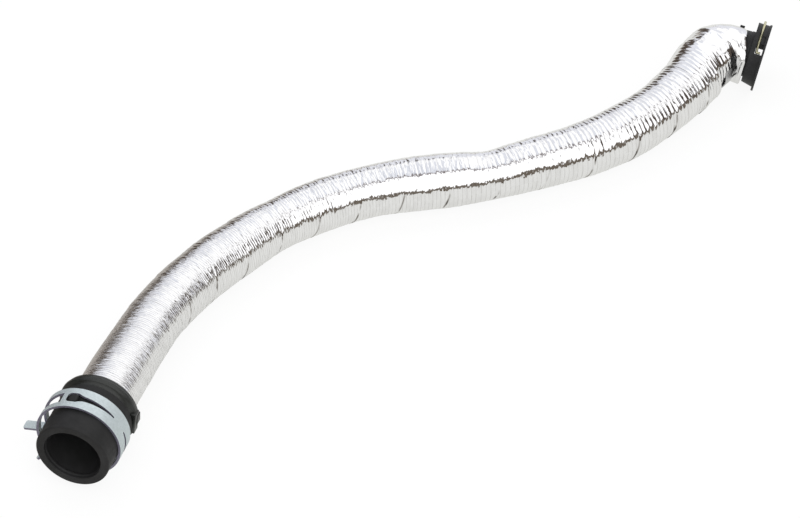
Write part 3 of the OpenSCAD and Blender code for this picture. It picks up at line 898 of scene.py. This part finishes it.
def make_world():
    """White to the camera. Other rays meet a pale studio: a wide soft box in front, another and
    a small round one at the back, pale blue-grey above, and a dark room round the horizon. The
    edges of each lie between two cosines to a direction."""
    world = bpy.data.worlds.new("studio")
    bpy.context.scene.world = world
    world.use_nodes = True
    world.node_tree.nodes.clear()
    m = Nodes(world.node_tree, "Generated")

    def along(direction):
        dot = m.node("ShaderNodeVectorMath", operation="DOT_PRODUCT")
        m.link(m.place, dot.inputs[0])
        dot.inputs[1].default_value = Vector(direction).normalized()
        return dot.outputs["Value"]

    def step(value, start, end):
        return m.span(value, 0.0, 1.0, start, end, "SMOOTHSTEP")

    def times(a, b):
        return m.math("MULTIPLY", a, b)

    up, front = along(UP), along(FRONT)
    look = m.over(SKY, step(up, 0.5, 1.0), ZENITH)
    look = m.over(look, step(along(BACK_BOX_AT), 0.825, 0.85), BACK_BOX)
    look = m.over(look, step(along(DISC_AT), 0.974, 0.984), DISC)
    room = times(step(along(LEANING_UP), 0.57, 0.45), step(along(BACK), 0.78, 0.71))
    look = m.over(look, room, ROOM)
    look = m.over(look, times(room, step(front, 0.2, 0.4)), ROOM_IN_FRONT)
    box = times(times(step(up, 0.21, 0.27), step(front, 0.25, 0.28)), step(along(SIDE), -0.85, -0.75))
    look = m.over(look, box, FRONT_BOX)
    gap = times(times(step(front, 0.13, 0.17), step(front, 0.28, 0.24)), step(up, 0.80, 0.88))
    look = m.over(look, gap, GAP)

    light = m.node("ShaderNodeBackground")
    m.link(look, light.inputs["Color"])
    white = m.node("ShaderNodeBackground")
    white.inputs["Color"].default_value = WHITE
    seen = m.node("ShaderNodeLightPath").outputs["Is Camera Ray"]
    shown = m.mixed(seen, light.outputs["Background"], white.outputs["Background"])
    m.link(shown, m.node("ShaderNodeOutputWorld").inputs["Surface"])


LAMP_SIZE = (1.2, 1.0)
LAMP_TARGET = Vector((0.12, 0.25, 0))


def make_lamp(name, place, watts):
    data = bpy.data.lights.new(name, "AREA")
    data.shape = "RECTANGLE"
    data.size, data.size_y = LAMP_SIZE
    data.energy = watts
    lamp = bpy.data.objects.new(name, data)
    lamp.location = place
    lamp.rotation_mode = "QUATERNION"
    lamp.rotation_quaternion = (LAMP_TARGET - Vector(place)).to_track_quat("-Z", "Y")
    lamp.visible_glossy = False
    bpy.context.scene.collection.objects.link(lamp)


# The scene

bpy.context.scene.view_settings.view_transform = "Standard"
make_camera()

foil = foil_material("foil_corrugated", streaks=0.25, coarse=0.1, grooves=1.0)
foil_smooth = foil_material("foil_smooth", streaks=0.1, coarse=0.15, grooves=0.0)
cuff_rubber = rubber_material("cuff_rubber", (0.012, 0.012, 0.012), (0.019, 0.019, 0.0195))
hose_rubber = rubber_material("hose_rubber", (0.012, 0.012, 0.012), (0.02, 0.02, 0.02))
seal_rubber = rubber_material("seal_rubber", (0.012, 0.03, 0.02), (0.02, 0.05, 0.035), (0.3, 0.4))
zinc = zinc_material("clamp_zinc")
collar_plastic = plastic_material(
    "collar_plastic", (0.008, 0.009, 0.008), (0.014, 0.016, 0.014), (0.25, 0.4)
)
connector = plastic_material(
    "connector_plastic", (0.011, 0.011, 0.011), (0.019, 0.019, 0.020), (0.4, 0.55), gloss=0.25
)
retainer = plastic_material(
    "retainer_plastic", (0.03, 0.03, 0.033), (0.045, 0.045, 0.05), (0.35, 0.5)
)
wire = wire_material("clip_wire")
band = steel_material("band_steel")

make_foil_sleeve(foil)
make_foil_wrap(foil_smooth)
make_cuff(cuff_rubber)
make_collar(collar_plastic)
dress("spring_clamp", zinc, 0.12)
dress("inner_hose", hose_rubber)
dress("barb_clamp", band)
dress("elbow_connector", connector, 0.2)
dress("seal_ring", seal_rubber)
dress("seal_retainer", retainer)
dress("retaining_clip", wire)

lowest = cad_box[0][2]
make_floor(lowest - FLOOR_GAP)
make_world()
make_lamp("key", (0.6, -0.7, 1.25), 10)
make_lamp("top", (-0.5, 0.6, 1.6), 6)
